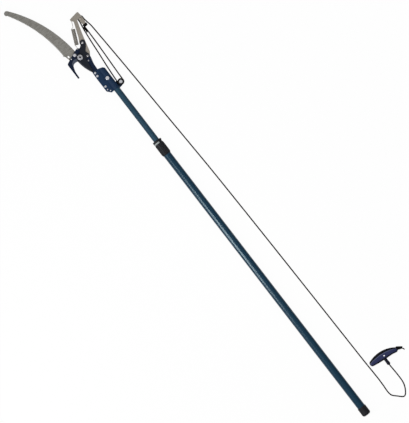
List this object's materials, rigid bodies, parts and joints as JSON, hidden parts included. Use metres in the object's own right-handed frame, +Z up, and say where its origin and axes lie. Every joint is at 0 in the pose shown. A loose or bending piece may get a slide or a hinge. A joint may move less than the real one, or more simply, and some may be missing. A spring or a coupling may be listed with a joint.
{
  "type": "tree pruner pole",
  "caption": "Telescopic tree pruner pole with a twist lock, a rope-worked bypass cutter on a hooked head, a curved pruning saw and a pull handle on the rope.",
  "frame": {"origin": "on the ground under the middle of the tool's box, lying flat, measured without the free rope", "axes": "+X along the pole from the butt to the head, +Y towards the hook and saw side, +Z up off the ground"},
  "size_m": [1.9488, 0.4048, 0.0346],
  "materials": {
    "pole_blue": "satin blue stove enamel on thin drawn tube",
    "navy_steel": "satin navy powder coat on pressed steel",
    "black_plastic": "fine-textured moulded black plastic",
    "pale_band": "pale grey moulded ring",
    "white_nylon": "natural nylon",
    "zinc": "bright zinc plate",
    "rivet_steel": "plain steel rivets and pins",
    "saw_steel": "ground spring steel, oiled",
    "blade_coat": "black low-friction coat on tool steel",
    "lever_steel": "warm grey nickel-plated steel",
    "sheave_nylon": "black moulded nylon",
    "spring_steel": "drawn spring wire",
    "rope_black": "black braided polyester cord",
    "handle_navy": "moulded navy plastic",
    "stem_rubber": "soft black sleeve"
  },
  "bodies": {
    "lower_pole": {"lower_tube": "pole_blue", "end_cap": "black_plastic", "lock_body": "black_plastic", "lock_band": "pale_band"},
    "lock_sleeve": {"lock_sleeve": "black_plastic"},
    "head": {"upper_tube": "pole_blue", "glide_bush": "white_nylon", "socket": "navy_steel", "socket_bolt": "zinc", "socket_nut": "zinc", "flange_bolts": "zinc", "flange_nuts": "zinc", "flange_rivets": "rivet_steel", "hook_frame": "navy_steel", "frame_rivet": "rivet_steel", "pivot_bolt": "zinc", "pivot_washers": "zinc", "pivot_nut": "zinc", "saw_blade": "saw_steel", "saw_bolt": "zinc", "saw_nut": "zinc", "saw_rivet": "rivet_steel", "pulley_bracket": "navy_steel", "pulley_bolt": "zinc", "pulley_nut": "zinc", "rope_lower_turn": "rope_black", "rope_main": "rope_black"},
    "lower_sheave": {"lower_sheave": "sheave_nylon"},
    "cutter": {"cutter_blade": "blade_coat", "lever": "lever_steel", "lever_rivets": "rivet_steel", "sheave_axle": "rivet_steel", "becket_pin": "rivet_steel", "rope_upper_turn": "rope_black", "becket_eye": "rope_black", "becket_knot": "rope_black", "becket_tail": "rope_black"},
    "inner_run": {"rope_inner_run": "rope_black"},
    "outer_run": {"rope_outer_run": "rope_black"},
    "lead_run": {"rope_top": "rope_black"},
    "spring": {"return_spring": "spring_steel"},
    "spring_end": {"spring_hook": "spring_steel"},
    "upper_sheave": {"upper_sheave": "sheave_nylon"},
    "pull_handle": {"rope_loop": "rope_black", "handle_grip": "handle_navy", "handle_stem": "stem_rubber", "tip_hitch": "rope_black", "tip_tail": "rope_black"}
  },
  "joints": [
    {"name": "lock_twist", "type": "hinge", "parent": "lower_pole", "child": "lock_sleeve", "pos_m": [0.2307, 0.04558, 0.0173], "axis": [1, 0, 0], "range_deg": [0, 90]},
    {"name": "pole_slide", "type": "slide", "parent": "lower_pole", "child": "head", "axis": [1, 0, 0], "range_m": [-0.2, 0.7]},
    {"name": "blade_swing", "type": "hinge", "parent": "head", "child": "cutter", "pos_m": [0.6677, 0.08058, 0.0173], "axis": [0, 0, -1], "range_deg": [0, 55], "stiffness_Nm_per_rad": 1, "springref_deg": -51.57, "deforming": ["return_spring", "spring_hook", "rope_inner_run", "rope_outer_run", "rope_top"]},
    {"name": "lower_sheave_spin", "type": "hinge", "parent": "head", "child": "lower_sheave", "pos_m": [0.5122, 0.01808, 0.0157], "axis": [0, 0, -1], "continuous": true},
    {"name": "upper_sheave_spin", "type": "hinge", "parent": "cutter", "child": "upper_sheave", "pos_m": [0.7767, -0.00442, 0.0157], "axis": [0, 0, -1], "continuous": true},
    {"name": "inner_run_swing", "type": "hinge", "parent": "cutter", "child": "inner_run", "pos_m": [0.7427, 0.00918, 0.0157], "axis": [0, 0, -1], "range_deg": [-42, 0]},
    {"name": "outer_run_swing", "type": "hinge", "parent": "cutter", "child": "outer_run", "pos_m": [0.7431, 0.00138, 0.0157], "axis": [0, 0, -1], "range_deg": [-44, 0]},
    {"name": "lead_run_swing", "type": "hinge", "parent": "cutter", "child": "lead_run", "pos_m": [0.7767, -0.00442, 0.0157], "axis": [0, 0, -1], "range_deg": [-51, 0]},
    {"name": "spring_swing", "type": "hinge", "parent": "head", "child": "spring", "pos_m": [0.6952, 0.07058, 0.0173], "axis": [0, 0, -1], "range_deg": [0, 67]},
    {"name": "spring_stretch", "type": "slide", "parent": "spring", "child": "spring_end", "axis": [0.9028, -0.4301, 0], "range_m": [0, 0.018]},
    {"name": "handle_pull", "type": "slide", "parent": "head", "child": "pull_handle", "axis": [-1, 0, 0], "range_m": [0, 0.33]}
  ],
  "couplings": [
    {"joint": "lower_sheave_spin", "follows": "blade_swing", "ratio": 9.96},
    {"joint": "upper_sheave_spin", "follows": "blade_swing", "ratio": 22.1},
    {"joint": "inner_run_swing", "follows": "blade_swing", "ratio": -0.724},
    {"joint": "outer_run_swing", "follows": "blade_swing", "ratio": -0.7693},
    {"joint": "lead_run_swing", "follows": "blade_swing", "ratio": -0.8913},
    {"joint": "spring_swing", "follows": "blade_swing", "ratio": 1.1936},
    {"joint": "spring_stretch", "follows": "blade_swing", "m_per_rad": 0.0175},
    {"joint": "handle_pull", "follows": "blade_swing", "m_per_rad": 0.3255}
  ]
}
